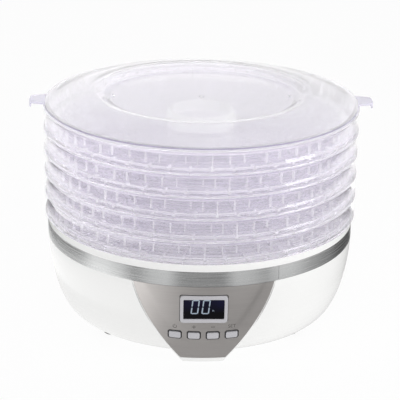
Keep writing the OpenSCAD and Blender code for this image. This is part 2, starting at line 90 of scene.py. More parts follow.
def blank(name):
    """A material with no nodes yet."""
    material = bpy.data.materials.new(name)
    material.use_nodes = True
    material.node_tree.nodes.clear()
    return material


def add_node(tree, kind, sockets=None, **settings):
    """Add a node: a socket that is given another node's output is linked, any other value is set."""
    node = tree.nodes.new(kind)
    for name, value in settings.items():
        setattr(node, name, value)
    for key, value in (sockets or {}).items():
        if isinstance(value, bpy.types.NodeSocket):
            tree.links.new(value, node.inputs[key])
        else:
            node.inputs[key].default_value = value
    return node


def seen_rays(tree):
    """1 for a ray that comes straight from the camera, off a shiny surface or through a clear one."""
    path = add_node(tree, "ShaderNodeLightPath")
    seen = path.outputs["Is Camera Ray"]
    for ray in ("Is Glossy Ray", "Is Transmission Ray"):
        seen = add_node(tree, "ShaderNodeMath", {0: seen, 1: path.outputs[ray]},
                        operation="MAXIMUM").outputs[0]
    return seen


def glowing(material, shade, strength=1.0):
    """End a material with the light that it gives off."""
    glow = add_node(material.node_tree, "ShaderNodeEmission", {"Color": shade, "Strength": strength})
    add_node(material.node_tree, "ShaderNodeOutputMaterial", {"Surface": glow.outputs[0]})


def drawn(name, points):
    """A line through points, all of it selected in edit mode."""
    bpy.ops.object.select_all(**deselect)
    bpy.ops.mesh.primitive_plane_add(size=mm)
    piece = bpy.context.object
    piece.name = name
    bpy.ops.object.mode_set(mode="EDIT")
    bpy.ops.mesh.select_mode(type="VERT")
    bpy.ops.mesh.select_all(action="SELECT")
    bpy.ops.mesh.merge(type="CENTER")
    bpy.ops.transform.translate(value=points[0])
    for a, b in zip(points, points[1:]):
        bpy.ops.mesh.extrude_vertices_move(TRANSFORM_OT_translate={"value": b - a})
    bpy.ops.mesh.select_all(action="SELECT")
    return piece


def bearing_line(profile, bearing):
    """The points of a profile of (radius, height) in millimetres, bearing degrees right of the front."""
    across = Vector((sin(radians(bearing)), -cos(radians(bearing)), 0))
    return [(across * r + Vector((0, 0, z))) * mm for r, z in profile]


def turned(name, profile, start=0.0, sweep=360.0, steps=192):
    """A shape spun round the Z axis from a profile of (radius, height) points in millimetres."""
    piece = drawn(name, bearing_line(profile, start))
    # The operator turns clockwise seen from above, so a sweep to the right is given below nought.
    bpy.ops.mesh.spin(steps=steps, angle=-radians(sweep), center=(0, 0, 0), axis=(0, 0, 1))
    bpy.ops.mesh.select_all(action="SELECT")
    bpy.ops.mesh.remove_doubles(threshold=0.002 * mm)
    bpy.ops.mesh.normals_make_consistent(inside=False)
    bpy.ops.object.mode_set(mode="OBJECT")
    return piece


def staged(card, material, ray):
    """Put up a card in the studio that only one kind of ray sees."""
    card.data.materials.append(material)
    for sight in ("camera", "diffuse", "glossy", "transmission", "volume_scatter", "shadow"):
        setattr(card, "visible_" + sight, sight == ray)


# The sky is white where it is seen, and lights the object a little less than white would.
sky_level = 0.65
world = bpy.data.worlds.new("studio_sky")
bpy.context.scene.world = world
world.use_nodes = True
world.node_tree.nodes.clear()
level = add_node(world.node_tree, "ShaderNodeMapRange", {
    0: seen_rays(world.node_tree), 3: sky_level, 4: 1.0})
sky = add_node(world.node_tree, "ShaderNodeBackground", {
    "Color": colour("ffffff"), "Strength": level.outputs[0]})
add_node(world.node_tree, "ShaderNodeOutputWorld", {"Surface": sky.outputs[0]})

# White paper: diffuse, with most of its white given off, so that the shadow on it is faint and the
# underside of the bowl is light. Each pair is how it lights the object and how it is seen.
paper_glow = (0.9, 0.92)
paper_level = (1.09, 1.0)
paper = blank("white_paper_sweep")
tree = paper.node_tree
seen = seen_rays(tree)
share = add_node(tree, "ShaderNodeMapRange", {0: seen, 3: paper_glow[0], 4: paper_glow[1]})
level = add_node(tree, "ShaderNodeMapRange", {0: seen, 3: paper_level[0], 4: paper_level[1]})
matt = add_node(tree, "ShaderNodeBsdfDiffuse", {"Color": colour("f6f6f6")})
glow = add_node(tree, "ShaderNodeEmission", {
    "Color": colour("ffffff"), "Strength": level.outputs[0]})
mixed = add_node(tree, "ShaderNodeMixShader", {
    0: share.outputs[0], 1: matt.outputs[0], 2: glow.outputs[0]})
add_node(tree, "ShaderNodeOutputMaterial", {"Surface": mixed.outputs[0]})

bpy.ops.object.select_all(**deselect)
bpy.ops.mesh.primitive_plane_add(size=12)
floor = bpy.context.object
floor.name = "floor"
floor.data.materials.append(paper)

# Grey cards: rings on the floor round the object, whose grey changes with the direction:
# (degrees right of the front, how light it is there). The outer one fades into the paper, sooner
# behind the object than in front of it.
card_z = 0.6
fade_middle = (0.10, 0, 0)
fade_start = 0.43
fade_end = 0.58
foot_greys = [(-180, 0.90), (-45, 0.90), (-14, 0.40), (180, 0.40)]
near_greys = [(-180, 0.6), (-64, 1.8), (-44, 1.8), (-30, 0.96), (-18, 0.54), (0, 0.34), (60, 0.26),
              (95, 0.14), (110, 0.10), (124, 0.10), (135, 0.6), (145, 3.0), (160, 4.0), (180, 1.0)]
far_greys = [(-180, 1.0), (-160, 1.2), (-150, 0.45), (-140, 0.15), (-130, 0.02), (-110, 0.05),
             (-90, 0.0), (-80, 0.15), (-70, 0.90), (-60, 0.93), (-50, 0.54), (-40, 0.0), (-30, 0.62),
             (-20, 0.82), (-12, 0.20), (12, 0.20), (20, 0.80), (30, 0.68), (38, 0.42), (46, 0.95),
             (56, 0.95), (62, 0.78), (70, 0.50), (90, 0.20), (100, 0.0), (124, 0.0), (135, 0.6),
             (145, 3.0), (160, 4.0), (180, 1.0)]
for name, inner, outer, greys in (("card_foot", 120, 190, foot_greys),
                                  ("card_near", 190, 300, near_greys),
                                  ("card_far", 300, 780, far_greys)):
    card = turned(name, [(inner, card_z), (outer, card_z)], steps=96)
    grey = blank("grey_" + name)
    tree = grey.node_tree
    place = add_node(tree, "ShaderNodeTexCoord").outputs["Object"]
    place = add_node(tree, "ShaderNodeMapping", {
        "Vector": place, "Rotation": (0, 0, radians(90))}).outputs[0]
    bearing = add_node(tree, "ShaderNodeTexGradient", {0: place}, gradient_type="RADIAL")
    shade = add_node(tree, "ShaderNodeValToRGB", {0: bearing.outputs["Fac"]})
    stops = shade.color_ramp.elements
    while len(stops) < len(greys):
        stops.new(0.5)
    for stop, (direction, light) in zip(stops, greys):
        stop.position = direction / 360 + 0.5
        stop.color = (light, light, light, 1)
    reach = add_node(tree, "ShaderNodeVectorMath", {0: place, 1: fade_middle}, operation="DISTANCE")
    fade = add_node(tree, "ShaderNodeMapRange", {
        0: reach.outputs["Value"], 1: fade_start, 2: fade_end, 3: 0.0, 4: 1.0})
    shade = add_node(tree, "ShaderNodeMix", {
        0: fade.outputs[0], 6: shade.outputs[0], 7: colour("ffffff")}, data_type="RGBA")
    glowing(grey, shade.outputs[2])
    staged(card, grey, "glossy")

# A strip light overhead, which only shiny surfaces see, draws white lines on their rounded edges.
strip_level = 3.0
bpy.ops.object.select_all(**deselect)
bpy.ops.mesh.primitive_plane_add(size=0.9, location=(0, -0.1, 1.9))
strip = bpy.context.object
strip.name = "strip_light"
bright = blank("strip_light")
glowing(bright, colour("ffffff"), strip_level)
staged(strip, bright, "glossy")

# A grey flag stands behind the object, to its right. Only what is seen through the clear plastic
# shows it, so that side of the trays and the lid is greyer. It fades in from its left edge.
flag_w = 0.5
flag_fade = 0.15
flag_level = 0.5
bpy.ops.object.select_all(**deselect)
bpy.ops.mesh.primitive_plane_add(size=flag_w, location=(0.30, 0.5, 0.2), rotation=(radians(90), 0, 0))
flag = bpy.context.object
flag.name = "grey_flag"
grey = blank("grey_flag")
place = add_node(grey.node_tree, "ShaderNodeTexCoord").outputs["Object"]
along = add_node(grey.node_tree, "ShaderNodeSeparateXYZ", {0: place}).outputs["X"]
level = add_node(grey.node_tree, "ShaderNodeMapRange", {
    0: along, 1: -flag_w / 2, 2: flag_fade - flag_w / 2, 3: 1.0, 4: flag_level})
glowing(grey, colour("ffffff"), level.outputs[0])
staged(flag, grey, "transmission")

# Soft boxes: place, width, and power in watts.
for name, place, width, power in (
        ("soft_box_left", (-1.7, -0.9, 0.2), 0.8, 1.6),
        ("soft_box_right", (1.7, -0.6, 0.3), 0.8, 8.5),
        ("soft_box_top", (-0.2, -0.5, 2.2), 1.6, 12)):
    lamp_data = bpy.data.lights.new(name, "AREA")
    lamp_data.size = width
    lamp_data.energy = power
    lamp = bpy.data.objects.new(name, lamp_data)
    bpy.context.collection.objects.link(lamp)
    lamp.location = place
    lamp.rotation_euler = (aim - Vector(place)).to_track_quat("-Z", "Y").to_euler()
    lamp.visible_glossy = False


# ---------------------------------------------------------------- white mouldings
# The housing, the deck, the air grille and the surround of the panel are glossy white ABS,
# injection moulded: faintly uneven in gloss, with the slow ripple of a large thin moulding.
plastic = {"IOR": 1.53}
ripple_w = 71.4286


def shiny(material, finish):
    """End a material with its Principled shader."""
    shader = add_node(material.node_tree, "ShaderNodeBsdfPrincipled", finish)
    add_node(material.node_tree, "ShaderNodeOutputMaterial", {"Surface": shader.outputs[0]})
    return material


def textured(name, shade, deep, roughness, grain, depth, finish=plastic, ripple=0.0):
    """A finely textured surface: grain is the texture's width, and depth and ripple are the heights
    of the texture and of the slow ripple under it, in millimetres."""
    material = blank(name)
    tree = material.node_tree
    place = add_node(tree, "ShaderNodeTexCoord").outputs["Object"]
    fine = add_node(tree, "ShaderNodeTexNoise", {
        "Vector": place, "Scale": 1000 / grain, "Detail": 3.0, "Roughness": 0.6})
    broad = add_node(tree, "ShaderNodeTexNoise", {
        "Vector": place, "Scale": 1000 / ripple_w, "Detail": 2.0, "Roughness": 0.5})
    tint = add_node(tree, "ShaderNodeMix", {
        0: broad.outputs[0], 6: colour(shade), 7: colour(deep)}, data_type="RGBA")
    gloss = add_node(tree, "ShaderNodeMapRange", {
        0: fine.outputs[0], 1: 0.3, 2: 0.7, 3: roughness - 0.05, 4: roughness + 0.05})
    texture = add_node(tree, "ShaderNodeBump", {
        "Height": fine.outputs[0], "Distance": depth * mm, "Strength": 0.5})
    if ripple:
        texture = add_node(tree, "ShaderNodeBump", {
            "Height": broad.outputs[0], "Distance": ripple * mm, "Strength": 0.5,
            "Normal": texture.outputs[0]})
    return shiny(material, {"Base Color": tint.outputs[2], "Roughness": gloss.outputs[0],
                            "Normal": texture.outputs[0], **finish})


def dress(material, *nodes):
    """Give nodes of the frame their material."""
    for node in nodes:
        skins = frame["nodes"][node].data.materials
        skins.clear()
        skins.append(material)


white_abs = textured("moulded_white_ABS", "f4f4f3", "f0f0ef", 0.24, 0.9, 0.004,
                     {"IOR": 1.53, "Specular IOR Level": 0.3}, ripple=0.15)
dress(white_abs, "base_housing", "base_deck", "outlet_grille", "control_apron")


# ---------------------------------------------------------------- steel band
# A strip of stainless steel, brushed along its length and bent round the housing, so that it draws
# each reflection out up and down. The brush lines are one millimetre wide, coarser than real ones,
# so that they show.
def brushed(name, shade, deep, line_l, line_w, depth, ragged, roughness, streak):
    """Metal brushed round the Z axis: the length, width and depth of its lines are in millimetres,
    ragged is how uneven they are, and streak is how far they draw a reflection out across them."""
    material = blank(name)
    tree = material.node_tree
    place = add_node(tree, "ShaderNodeTexCoord").outputs["Object"]
    stretched = add_node(tree, "ShaderNodeMapping", {
        "Vector": place, "Scale": (1000 / line_l, 1000 / line_l, 1000 / line_w)})
    lines = add_node(tree, "ShaderNodeTexNoise", {
        "Vector": stretched.outputs[0], "Scale": 1.0, "Detail": 4.0, "Roughness": ragged})
    tint = add_node(tree, "ShaderNodeMix", {
        0: lines.outputs[0], 6: colour(shade), 7: colour(deep)}, data_type="RGBA")
    gloss = add_node(tree, "ShaderNodeMapRange", {
        0: lines.outputs[0], 1: 0.3, 2: 0.7, 3: roughness, 4: roughness + 0.1})
    grooves = add_node(tree, "ShaderNodeBump", {
        "Height": lines.outputs[0], "Distance": depth * mm, "Strength": 0.4})
    along = add_node(tree, "ShaderNodeTangent", direction_type="RADIAL", axis="Z")
    return shiny(material, {
        "Base Color": tint.outputs[2], "Metallic": 1.0, "Roughness": gloss.outputs[0],
        "Anisotropic": streak, "Anisotropic Rotation": 0.25, "Tangent": along.outputs[0],
        "Normal": grooves.outputs[0]})


brushed_steel = brushed("brushed_stainless_steel", "c2c3c4", "dcdddc", line_l=71.4286, line_w=1.11111,
                        depth=0.02, ragged=0.65, roughness=0.2, streak=0.8)
dress(brushed_steel, "steel_band")

# ---------------------------------------------------------------- control panel
# A thin plate of aluminium, brushed across and anodised champagne, glued into the white surround.
# Its face is part of a cone that leans out towards the top. It is duller and warmer than the band.
panel_foot_r = 144.8
panel_foot_z = 6.6
panel_top_z = 84.8
panel_top_r = 155.0
panel_lean = (panel_top_r - panel_foot_r) / (panel_top_z - panel_foot_z)

anodised = brushed("brushed_champagne_aluminium", "c9c4c2", "d8d4d1", line_l=33.3333, line_w=0.909091,
                   depth=0.015, ragged=0.6, roughness=0.33, streak=0.5)
dress(anodised, "control_panel")


# ---------------------------------------------------------------- display
# A frame of silver-grey ABS clipped into the panel, round a window of smoked acrylic
# behind which the lit digits stand. The digits are printed light guides, pale blue.
def rounded(node, name, edge, steps):
    """A copy of a node of the frame with its sharp edges rounded by edge millimetres."""
    piece = bpy.data.objects.new(name, frame["nodes"][node].data.copy())
    bpy.context.collection.objects.link(piece)
    bpy.ops.object.select_all(**deselect)
    piece.select_set(True)
    bpy.context.view_layer.objects.active = piece
    if piece.data.has_custom_normals:
        bpy.ops.mesh.customdata_custom_splitnormals_clear()
    bpy.ops.object.mode_set(mode="EDIT")
    bpy.ops.mesh.select_all(action="SELECT")
    bpy.ops.mesh.remove_doubles(threshold=0.005 * mm)
    bpy.ops.mesh.dissolve_limited(angle_limit=radians(0.5))
    bpy.ops.object.mode_set(mode="OBJECT")
    bevel = piece.modifiers.new("edges", "BEVEL")
    bevel.width = edge * mm
    bevel.segments = steps
    bevel.limit_method = "ANGLE"
    bevel.angle_limit = radians(40)
    bpy.ops.object.modifier_apply(modifier=bevel.name)
    bpy.ops.object.shade_smooth_by_angle(angle=radians(35))
    return piece


def finished(piece, body, material, slot, *nodes):
    """Give a piece its material unless it has its own, and its body, and hide the nodes it stands for.
    slot is not used.
    """
    if material:
        piece.data.materials.clear()
        piece.data.materials.append(material)
    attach(piece, body)
    if nodes:
        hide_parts(*nodes)


def joined(name, pieces):
    """Join pieces into one."""
    bpy.ops.object.select_all(**deselect)
    for piece in pieces:
        piece.select_set(True)
    bpy.context.view_layer.objects.active = pieces[0]
    bpy.ops.object.join()
    pieces[0].name = name
    return pieces[0]


def on_face(x, z, proud):
    """Place on the panel's face: x and z in millimetres, with X across, Y up the face and Z outwards."""
    r = panel_foot_r + (z - panel_foot_z) * panel_lean + proud
    turn = asin(x / r)
    across = Vector((cos(turn), sin(turn), 0))
    out = Vector((sin(turn), -cos(turn), -panel_lean)).normalized()
    up = out.cross(across)
    turned_to = Matrix((across, up, out)).transposed().to_4x4()
    return Matrix.Translation(Vector((x, -r * cos(turn), z)) * mm) @ turned_to


def block(size, middle=(0, 0, 0), turn=0.0):
    """A box of this size round a middle, turned about the Z axis; in millimetres and degrees."""
    bpy.ops.object.select_all(**deselect)
    bpy.ops.mesh.primitive_cube_add(size=1)
    piece = bpy.context.object
    piece.data.transform(Matrix.Diagonal([s * mm for s in size] + [1]))
    piece.data.transform(Matrix.Translation([m * mm for m in middle]))
    piece.data.transform(Matrix.Rotation(radians(turn), 4, "Z"))
    return piece


def pick(kind, parts, chosen):
    """Select only the chosen edges or faces of the active piece, and stay in edit mode."""
    bpy.ops.object.mode_set(mode="EDIT")
    bpy.ops.mesh.select_mode(type=kind)
    bpy.ops.mesh.select_all(**deselect)
    bpy.ops.object.mode_set(mode="OBJECT")
    for part in parts:
        part.select = chosen(part)
    bpy.ops.object.mode_set(mode="EDIT")


def stands(piece, edge, beyond=-1000.0):
    """Whether an edge runs straight up, further along X than beyond millimetres."""
    a, b = (piece.data.vertices[i].co for i in edge.vertices)
    return abs(a.z - b.z) > (a - b).xy.length and a.x > beyond * mm


def bar(length, width, thick, corner=0.0, x=0.0, y=0.0, turn=0.0):
    """A flat bar, turned and then moved to x and y, whose four corners are cut off by corner."""
    piece = block((length, width, thick))
    if corner:
        pick("EDGE", piece.data.edges, lambda edge: stands(piece, edge))
        bpy.ops.mesh.bevel(offset=corner * mm, offset_type="OFFSET", segments=1, affect="EDGES")
        bpy.ops.object.mode_set(mode="OBJECT")
    piece.data.transform(Matrix.Rotation(radians(turn), 4, "Z"))
    piece.data.transform(Matrix.Translation((x * mm, y * mm, 0)))
    return piece


# Satin silver-grey plastic: no grain to see, and a soft highlight along each edge.
silver_abs = textured("moulded_silver_ABS", "c3c2c6", "b8b7bc", 0.3, 0.5, 0.004)
bezel = rounded("display_bezel", "bezel", 0.45, 3)
finished(bezel, "base", silver_abs, "silver_abs", "display_bezel")

# Smoked acrylic: near black, with a painted cloudy blue glow above that stands for the light of the lit
# unit behind it.
painted_glow_low = 57
painted_glow_high = 72
painted_glow_cloud_w = 16.6667
smoked = blank("smoked_acrylic")
tree = smoked.node_tree
place = add_node(tree, "ShaderNodeTexCoord").outputs["Object"]
height = add_node(tree, "ShaderNodeSeparateXYZ", {0: place}).outputs["Z"]
painted_glow = add_node(tree, "ShaderNodeMapRange", {
    0: height, 1: painted_glow_low * mm, 2: painted_glow_high * mm, 3: 0.0, 4: 1.0})
cloud = add_node(tree, "ShaderNodeTexNoise", {
    "Vector": place, "Scale": 1000 / painted_glow_cloud_w, "Detail": 1.0})
share = add_node(tree, "ShaderNodeMath", {0: painted_glow.outputs[0], 1: cloud.outputs[0]},
                 operation="MULTIPLY")
tint = add_node(tree, "ShaderNodeMix", {
    0: share.outputs[0], 6: colour("010104"), 7: colour("181640")}, data_type="RGBA")
shiny(smoked, {"Base Color": tint.outputs[2], "Roughness": 0.08, "IOR": 1.49,
               "Specular IOR Level": 0.25})
dress(smoked, "display_window")

# The digits: two figures of seven-segment form, both showing nought, and a small mark beside them.
# They glow faintly and a little unevenly.
digit_h = 15.6
digit_w = 7.2
digits_x = (-8.2, 2.0)
digits_z = 63.6
digits_proud = 0.46
stroke = 1.2
stroke_t = 0.1
stroke_point = stroke * 0.45
upright_gap = 0.9
level_gap = 0.5
slant = tan(radians(6))
glow_cloud_w = 2.5
lit = blank("lit_display_segments")
tree = lit.node_tree
place = add_node(tree, "ShaderNodeTexCoord").outputs["Object"]
cloud = add_node(tree, "ShaderNodeTexNoise", {
    "Vector": place, "Scale": 1000 / glow_cloud_w, "Detail": 1.0})
glow = add_node(tree, "ShaderNodeMapRange", {0: cloud.outputs[0], 3: 0.08, 4: 0.22})
shiny(lit, {"Base Color": colour("8c99a6"), "Roughness": 0.3, "Emission Color": colour("bccddc"),
            "Emission Strength": glow.outputs[0]})
segments = []
for x in digits_x:
    for row in (-1, 1):
        segments.append(bar(digit_w - stroke - level_gap, stroke, stroke_t, stroke_point,
                            x, row * (digit_h - stroke) / 2))
        for side in (-1, 1):
            segments.append(bar(digit_h / 2 - upright_gap, stroke, stroke_t, stroke_point,
                                x + side * (digit_w - stroke) / 2, row * digit_h / 4, turn=90))
for length, width, x, y in ((0.35, 1.8, 8.7, -4.0), (0.35, 1.1, 9.9, -4.4), (1.2, 0.3, 9.3, -3.9)):
    segments.append(bar(length, width, stroke_t, 0, x, y))
digits = joined("display_digits", segments)
lean = Matrix.Identity(4)
lean[0][1] = slant
digits.data.transform(lean)
digits.data.transform(on_face(0, digits_z, digits_proud))
finished(digits, "base", lit, "display_unit")

# ---------------------------------------------------------------- buttons
# Four keys of silver-grey ABS, each one moulding with a flange that keeps it behind the panel
# and a stem that presses its switch. Each is trimmed a little, most at its top, so that the gap
# round it shows dark. Small grey marks are pad printed above them.
keys = [("power", -27), ("plus", -9), ("minus", 9), ("set", 27)]
key_w = 11.6
key_h = 7.3
key_z = 32.0
key_drop = 0.25
key_trim = (0.955, 0.87, 1, 1)
trim = Matrix.Translation((0, -key_drop * mm, 0)) @ Matrix.Diagonal(key_trim)
for key, x in keys:
    button = rounded(key + "_button", key + "_key", 0.35, 3)
    place = on_face(0, key_z, 0) @ Matrix.Translation((x * mm, 0, 0))
    button.data.transform(place @ trim @ place.inverted())
    finished(button, key + "_key", silver_abs, "silver_abs", key + "_button")

# A thin seal of dull black nylon lines each hole of the panel round its key, with a flat lip on the
# panel's face, and a flat one lies round the frame of the display. The dark linings and lips paint shade
# in the gaps round the keys, and the ring round the frame paints the shadow line about it. For each
# ring:
# its outer width and height, its depth and wall, and its middle's place across, up and out from the
# face.
bezel_w = 44.8
bezel_h = 29.3
bezel_z = 61.0
shade_seal_corner = 1.5
shade_lip_t = 0.14
shade_lip_proud = 0.1
nylon = textured("black_nylon", "1d1d1f", "262628", 0.5, 0.5, 0.02)
shade_rings = [(key_w + 1.1, key_h + 1.1, 3.0, 0.3, x, key_z, -1.6) for key, x in keys]
shade_rings += [(key_w + 1.8, key_h + 1.8, shade_lip_t, 0.65, x, key_z, shade_lip_proud) for key, x in keys]
shade_rings.append((bezel_w + 1.0, bezel_h + 1.0, shade_lip_t, 0.8, 0, bezel_z, shade_lip_proud))
shade_seals = []
for width, high, deep, thick, x, z, proud in shade_rings:
    shade_seal = bar(width, high, deep, shade_seal_corner)
    bpy.ops.object.mode_set(mode="EDIT")
    bpy.ops.mesh.select_mode(type="EDGE")
    bpy.ops.mesh.select_all(action="SELECT")
    bpy.ops.mesh.subdivide(number_cuts=5)
    bpy.ops.object.mode_set(mode="OBJECT")
    pick("FACE", shade_seal.data.polygons, lambda face: abs(face.normal.z) > 0.9)
    bpy.ops.mesh.delete(type="FACE")
    bpy.ops.object.mode_set(mode="OBJECT")
    wall = shade_seal.modifiers.new("wall", "SOLIDIFY")
    wall.thickness = thick * mm
    wall.offset = -1
    wall.use_even_offset = True
    bpy.ops.object.modifier_apply(modifier=wall.name)
    shade_seal.data.transform(Matrix.Translation(Vector((x, 0, proud)) * mm))
    # The flat ring is bent round to follow the face.
    face_r = (panel_foot_r + (z - panel_foot_z) * panel_lean) * mm
    for point in shade_seal.data.vertices:
        point.co.z -= face_r - (face_r ** 2 - point.co.x ** 2) ** 0.5
    shade_seal.data.transform(on_face(0, z, 0))
    shade_seals.append(shade_seal)
finished(joined("panel_shade_seals", shade_seals), "base", nylon, "black_nylon")

# Pad-printing ink: a matt warm grey with no thickness to see.
ink = textured("pad_printing_ink", "56534f", "605d5a", 0.5, 0.3, 0.002)
mark_z = 41.2
ink_t = 0.04
ink_proud = 0.03
arc = turned("power_mark", [(1.5, 0), (1.5, ink_t), (2.0, ink_t), (2.0, 0), (1.5, 0)], 215, 290, 20)
power = joined("power_mark", [arc, bar(1.9, 0.5, ink_t, 0, 0, 1.4, 90)])
plus = joined("plus_mark", [bar(3.6, 0.6, ink_t), bar(3.6, 0.6, ink_t, turn=90)])
minus = bar(3.8, 0.7, ink_t)
bpy.ops.object.select_all(**deselect)
bpy.ops.object.text_add()
word = bpy.context.object
word.data.body = "SET"
word.data.size = 4.9 * mm
word.data.align_x = "CENTER"
word.data.align_y = "CENTER"
word.data.extrude = ink_t / 2 * mm
bpy.ops.object.convert(target="MESH")
marks = [power, plus, minus, word]
for mark, (key, x) in zip(marks, keys):
    mark.data.transform(on_face(x, mark_z, ink_proud))
finished(joined("button_marks", marks), "base", ink, "grey_abs")

# ---------------------------------------------------------------- underside
# A grey ABS plate with the air inlet closes the bottom. It stands on four rubber feet,
# zinc-plated screws hold it, and a nylon gland at the back holds the mains lead.
metal = {"Metallic": 1.0}

# The plate is satin, the rubber dull, and the zinc bright with a faint crystal grain.
grey_abs = textured("moulded_grey_ABS", "d9d9d7", "d2d2d0", 0.42, 0.8, 0.02)
rubber = textured("black_rubber", "2a2a2b", "232324", 0.75, 0.6, 0.03)
zinc = textured("zinc_plated_steel", "c4c8cc", "adb2b8", 0.3, 1.2, 0.004, metal)
dress(grey_abs, "bottom_plate")
dress(rubber, "foot_1", "foot_2", "foot_3", "foot_4")
dress(zinc, "plate_screws", "deck_screws", "board_screws", "motor_screws", "duct_screws",
      "main_board_screws", "fan_nut", "motor_shaft")
dress(nylon, "cord_gland")

# ---------------------------------------------------------------- fan and heater
# A shaded-pole motor on a pressed steel bracket drives a nylon wheel in a duct of galvanised sheet.
# Above it a mica frame carries the heating coil, the thermostat and the thermal fuse.

# The sheet shows a broad pale spangle and the motor a plain sheen, the nylon is dull with its glass
# fibres, the mica flaky brown, the wire browned by its heat, and the plated cans warm and bright.
sheet = textured("galvanised_sheet_steel", "b9bdc0", "a3a8ad", 0.36, 6.0, 0.01, metal)
motor_can = textured("drawn_steel_motor_can", "9c9fa3", "84878c", 0.32, 2.0, 0.006, metal)
fan_nylon = textured("glass_filled_nylon", "3a3b3d", "303133", 0.55, 0.4, 0.02)
mica = textured("mica_sheet", "b9a98a", "9c8b6c", 0.45, 3.0, 0.03)
wire = textured("resistance_wire", "7c7266", "5f554c", 0.4, 0.5, 0.004, metal)
can = textured("nickel_plated_brass", "c9c2b0", "b3ab98", 0.3, 1.0, 0.004, metal)
dress(sheet, "motor_bracket", "air_duct")
dress(motor_can, "motor")
dress(fan_nylon, "fan_wheel")
dress(mica, "heater_frame")
dress(wire, "heater_coil")
dress(can, "thermostat", "thermal_fuse")

# ---------------------------------------------------------------- electronics
# Two glass-fibre boards with a green solder mask, the display unit, four tact switches,
# a transformer, a relay and a terminal block, and the leads between them.

# The mask and the varnish are glossy, the moulded cases satin, and the leads a little waxy.
mask = textured("green_solder_mask", "1f5a38", "17492d", 0.3, 1.5, 0.01)
unit = textured("display_unit_case", "4a4f55", "3f444a", 0.4, 0.6, 0.01)
core = textured("varnished_transformer", "6d5a34", "4c3f2a", 0.35, 1.0, 0.02)
relay_case = textured("blue_relay_case", "23468c", "1d3b78", 0.35, 0.6, 0.01)
terminal = textured("green_terminal_nylon", "2f7a4a", "286a40", 0.45, 0.6, 0.01)
grey_lead = textured("grey_PVC_lead", "8d8f92", "808286", 0.45, 0.6, 0.01)
red_lead = textured("red_PVC_lead", "a63a34", "92302b", 0.45, 0.6, 0.01)
white_lead = textured("white_silicone_lead", "e3e1dc", "d6d4cf", 0.5, 0.6, 0.01)
dress(mask, "control_board", "main_board")
dress(unit, "lcd_module")
dress(nylon, "tact_switches")
dress(core, "transformer")
dress(relay_case, "relay")
dress(terminal, "terminal_block")
dress(grey_lead, "display_cable")
dress(red_lead, "motor_leads")
dress(white_lead, "heater_leads")

# ---------------------------------------------------------------- trays
# Five equal trays of clear styrene, injection moulded: a waisted wall with a ring under it that
# nests in the tray below, a slotted floor, a collar round the air hole, and ribs inside the wall.
tray_h = 22.0
first_z = 108.0
edge_r = 157.4
waist_r = 155.1
wall_t = 2.2
wall_steps = 16
edge_round = 0.5
edge_inset = 0.15
ring_out = 153.2
ring_in = 151.2
ring_h = 4.0
ring_round = 0.3
seat = 0.05
floor_low = 1.2
floor_top = 3.6
hub_r = 31.0
hub_w = 5.0
hub_top = 13.0
tray_turns = (0, 11, 4, 8, 2)
flow_w = 18.1818
scuff_w = 1.42857


def clear_styrene(name, shade, deep, through, roughness):
    """Clear styrene, whose faint haze and lilac cast grow where it is scuffed; a whiter, hazier copy of
    it paints highlights.

    Very smooth, with the slow flow ripple of a thin clear moulding and fine scuffs from use."""
    material = blank(name)
    tree = material.node_tree
    place = add_node(tree, "ShaderNodeTexCoord").outputs["Object"]
    flow = add_node(tree, "ShaderNodeTexNoise", {
        "Vector": place, "Scale": 1000 / flow_w, "Detail": 2.0, "Roughness": 0.5})
    scuffs = add_node(tree, "ShaderNodeTexNoise", {
        "Vector": place, "Scale": 1000 / scuff_w, "Detail": 3.0})
    gloss = add_node(tree, "ShaderNodeMapRange", {
        0: scuffs.outputs[0], 1: 0.4, 2: 0.75, 3: roughness, 4: roughness + 0.09})
    tint = add_node(tree, "ShaderNodeMix", {
        0: flow.outputs[0], 6: colour(shade), 7: colour(deep)}, data_type="RGBA")
    surface = add_node(tree, "ShaderNodeBump", {
        "Height": flow.outputs[0], "Distance": 0.04 * mm, "Strength": 0.5})
    return shiny(material, {
        "Base Color": tint.outputs[2], "Roughness": gloss.outputs[0], "IOR": 1.57,
        "Transmission Weight": through, "Normal": surface.outputs[0]})


# The wall is nearly clear, the floor hazy and the collar milky; the ribs and some edges get a whiter,
# less clear styrene that paints their highlights.
styrene = clear_styrene("clear_styrene", "f4f1f9", "faf8fd", 0.955, 0.03)
hazy_styrene = clear_styrene("hazy_styrene_floor", "e8e6ed", "efedf2", 0.88, 0.08)
hub_styrene = clear_styrene("milky_styrene_hub", "fafafd", "ffffff", 0.7, 0.12)
highlight_styrene = clear_styrene("styrene_painted_highlight", "f8f7fa", "ffffff", 0.66, 0.12)


def wall_r(share):
    """How far out the wall stands at a share of its height."""
    return waist_r + (edge_r - waist_r) * (2 * share - 1) ** 2


inner_r = edge_r - wall_t
nesting_ring = [(ring_in, ring_round - ring_h), (ring_in + ring_round, -ring_h),
                (ring_out - ring_round, -ring_h), (ring_out, ring_round - ring_h), (ring_out, seat)]
profile = [(ring_out, seat), (edge_r - edge_round, seat), (edge_r - edge_inset, seat + edge_inset),
           (edge_r, seat + edge_round)]
profile += [(wall_r(k / wall_steps), tray_h * k / wall_steps) for k in range(1, wall_steps)]
profile += [(edge_r, tray_h - edge_round), (edge_r - edge_inset, tray_h - edge_inset),
            (edge_r - edge_round, tray_h), (inner_r + edge_round, tray_h),
            (inner_r + edge_inset, tray_h - edge_inset), (inner_r, tray_h - edge_round)]
profile += [(wall_r(k / wall_steps) - wall_t, tray_h * k / wall_steps)
            for k in range(wall_steps - 1, 2, -1)]
wall = turned("tray_wall", profile + [(ring_in, floor_top)] + nesting_ring)
hub = turned("tray_hub", [
    (hub_r, floor_low), (hub_r + hub_w, floor_low), (hub_r + hub_w, floor_top),
    (hub_r + 2.2, hub_top - 0.6), (hub_r + 1.6, hub_top), (hub_r + 0.5, hub_top),
    (hub_r, hub_top - 0.5), (hub_r, floor_low)], steps=72)
